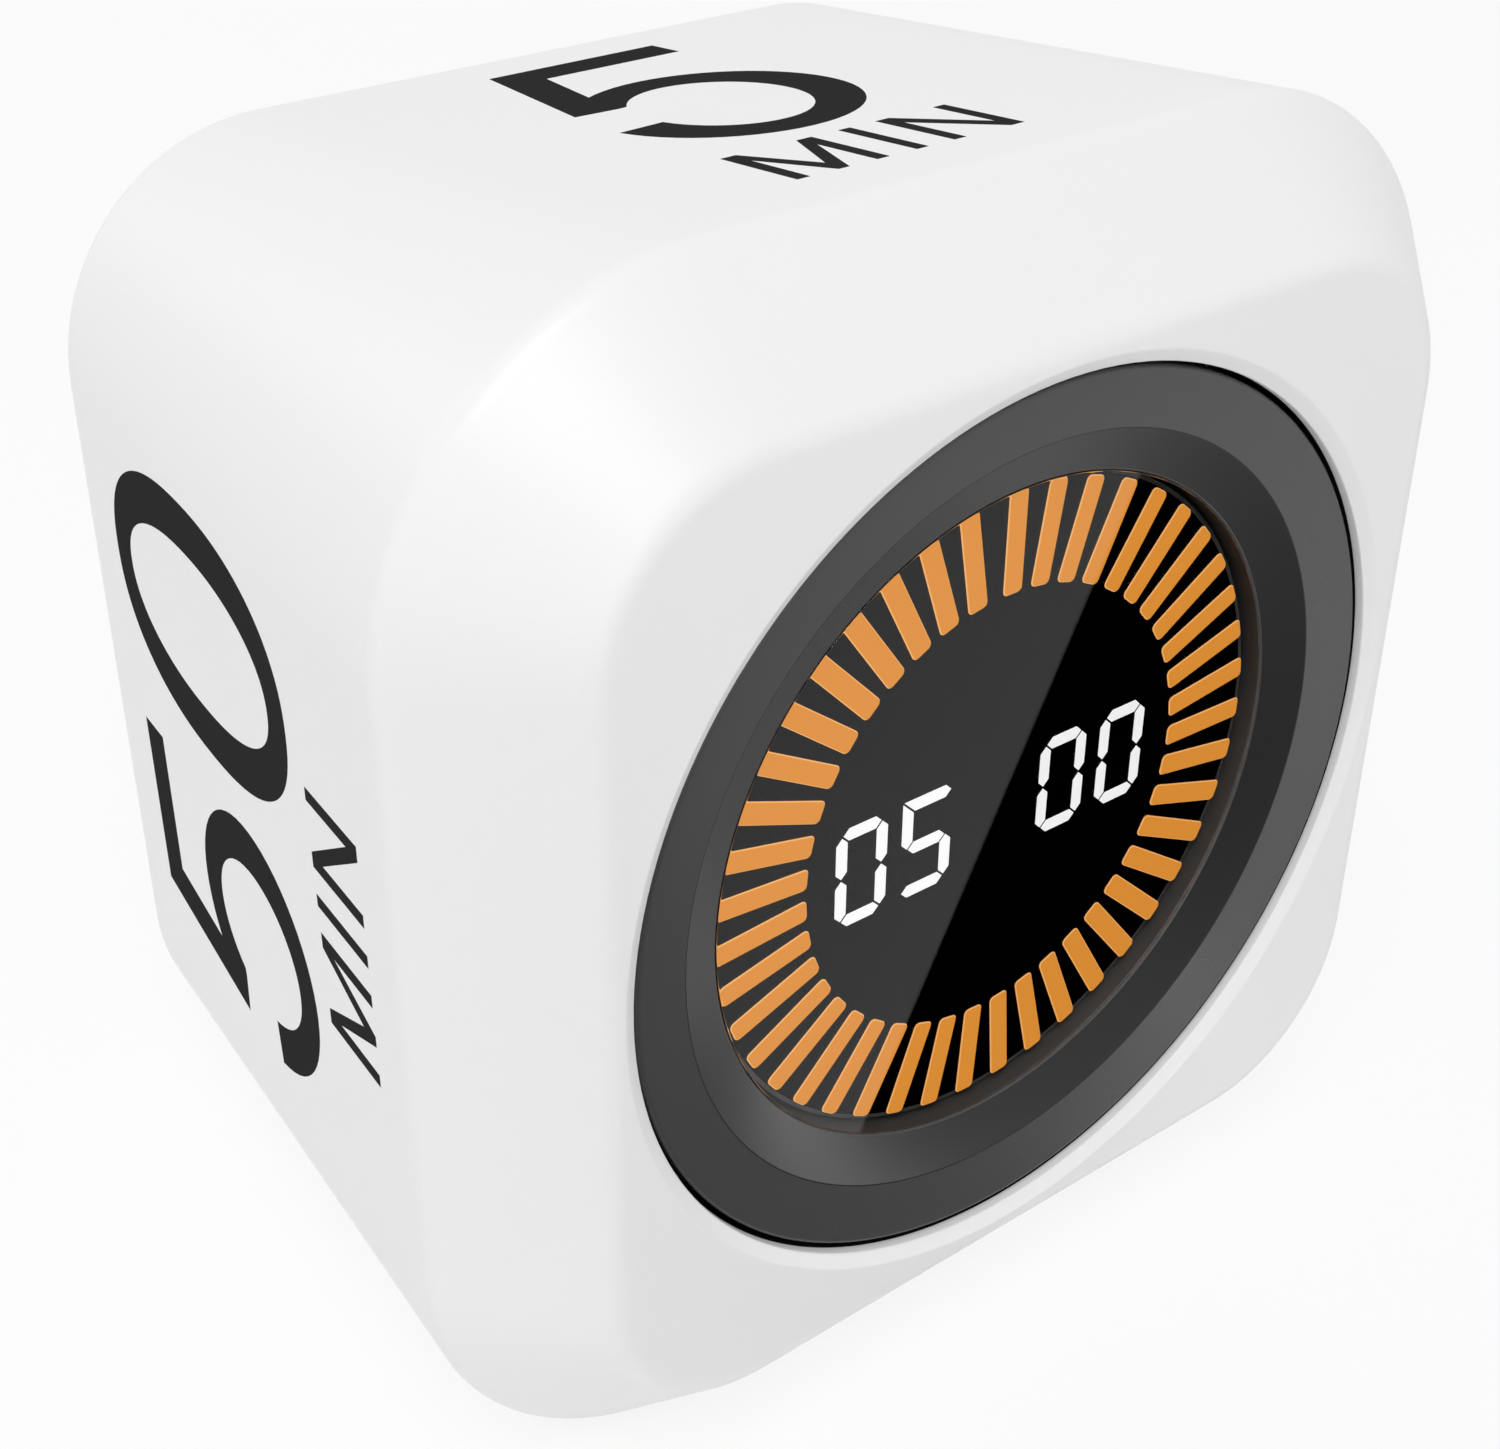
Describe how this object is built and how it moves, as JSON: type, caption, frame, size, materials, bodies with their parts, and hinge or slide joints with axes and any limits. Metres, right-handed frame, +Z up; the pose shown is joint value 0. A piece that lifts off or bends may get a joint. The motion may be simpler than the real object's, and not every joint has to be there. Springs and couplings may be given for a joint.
{
  "type": "cube timer",
  "caption": "Small square desk timer with chamfered shoulders, a round turning dial round a lit bar display, and a screwed rear cover with port, slider and button.",
  "frame": {"origin": "on the ground, under the centre of the box that the resting timer fills", "axes": "+Z up, the dial faces -Y and leans back 5.48 degrees, +X to the right seen from the front"},
  "size_m": [0.0598, 0.0448, 0.0596],
  "materials": {
    "case_white": "white moulded plastic with a fine satin grain",
    "dial_grey": "dark grey moulded plastic, satin",
    "window_clear": "clear polished lens",
    "mask_black": "black print on a glossy sheet",
    "amber": "amber light guide",
    "milk_white": "milky diffusing plastic",
    "acetal": "white engineering plastic",
    "black_nylon": "black moulded plastic",
    "laminate": "green circuit board",
    "plated_steel": "plated steel",
    "contact_brass": "spring contact",
    "foam": "black foam",
    "cell_foil": "silver foil pouch",
    "film": "amber film cable",
    "red_sleeve": "insulated wire"
  },
  "bodies": {
    "case": {"front_shell": "case_white", "rear_cover": "case_white", "glide_ring": "black_nylon", "encoder_body": "black_nylon", "segment_mask": "mask_black", "bar_light_guide": "amber", "digit_light_guide": "milk_white", "light_baffle": "milk_white", "led_board": "laminate", "display_frame": "black_nylon", "led_connector": "black_nylon", "flex_connector": "black_nylon", "display_flex": "film", "battery_pad": "foam", "battery": "cell_foil", "battery_socket": "acetal", "battery_lead": "red_sleeve", "main_board": "laminate", "usb_port": "plated_steel", "processor_chip": "black_nylon", "motion_sensor": "black_nylon", "charger_chip": "black_nylon", "crystal": "plated_steel", "mode_switch": "plated_steel", "button_switch": "black_nylon", "speaker": "black_nylon", "speaker_gasket": "foam", "speaker_contact_1": "contact_brass", "speaker_contact_2": "contact_brass", "rear_screw_1": "plated_steel", "rear_screw_2": "plated_steel", "rear_screw_3": "plated_steel", "rear_screw_4": "plated_steel", "frame_screw_1": "plated_steel", "frame_screw_2": "plated_steel", "frame_screw_3": "plated_steel", "frame_screw_4": "plated_steel", "board_screw_1": "plated_steel", "board_screw_2": "plated_steel", "board_screw_3": "plated_steel", "board_screw_4": "plated_steel"},
    "dial": {"dial_ring": "dial_grey", "dial_gear": "acetal", "display_window": "window_clear"},
    "encoder": {"encoder_pinion": "acetal"},
    "slider": {"mode_slider": "dial_grey"},
    "button": {"set_button": "dial_grey"}
  },
  "joints": [
    {"name": "dial_turn", "type": "hinge", "parent": "case", "child": "dial", "pos_m": [0, -0.02019, 0.03043], "axis": [0, -0.9954, 0.0955], "continuous": true},
    {"name": "encoder_turn", "type": "hinge", "parent": "case", "child": "encoder", "pos_m": [0.01167, -0.02228, 0.00858], "axis": [0, -0.9954, 0.0955], "continuous": true},
    {"name": "mode_slide", "type": "slide", "parent": "case", "child": "slider", "axis": [1, 0, 0], "range_m": [-0.002, 0.002]},
    {"name": "set_press", "type": "slide", "parent": "case", "child": "button", "axis": [0, -0.9954, 0.0955], "range_m": [0, 0.0005], "stiffness_N_per_m": 200, "springref_m": -0.0002}
  ],
  "couplings": [
    {"joint": "encoder_turn", "follows": "dial_turn", "ratio": -6.8889}
  ]
}
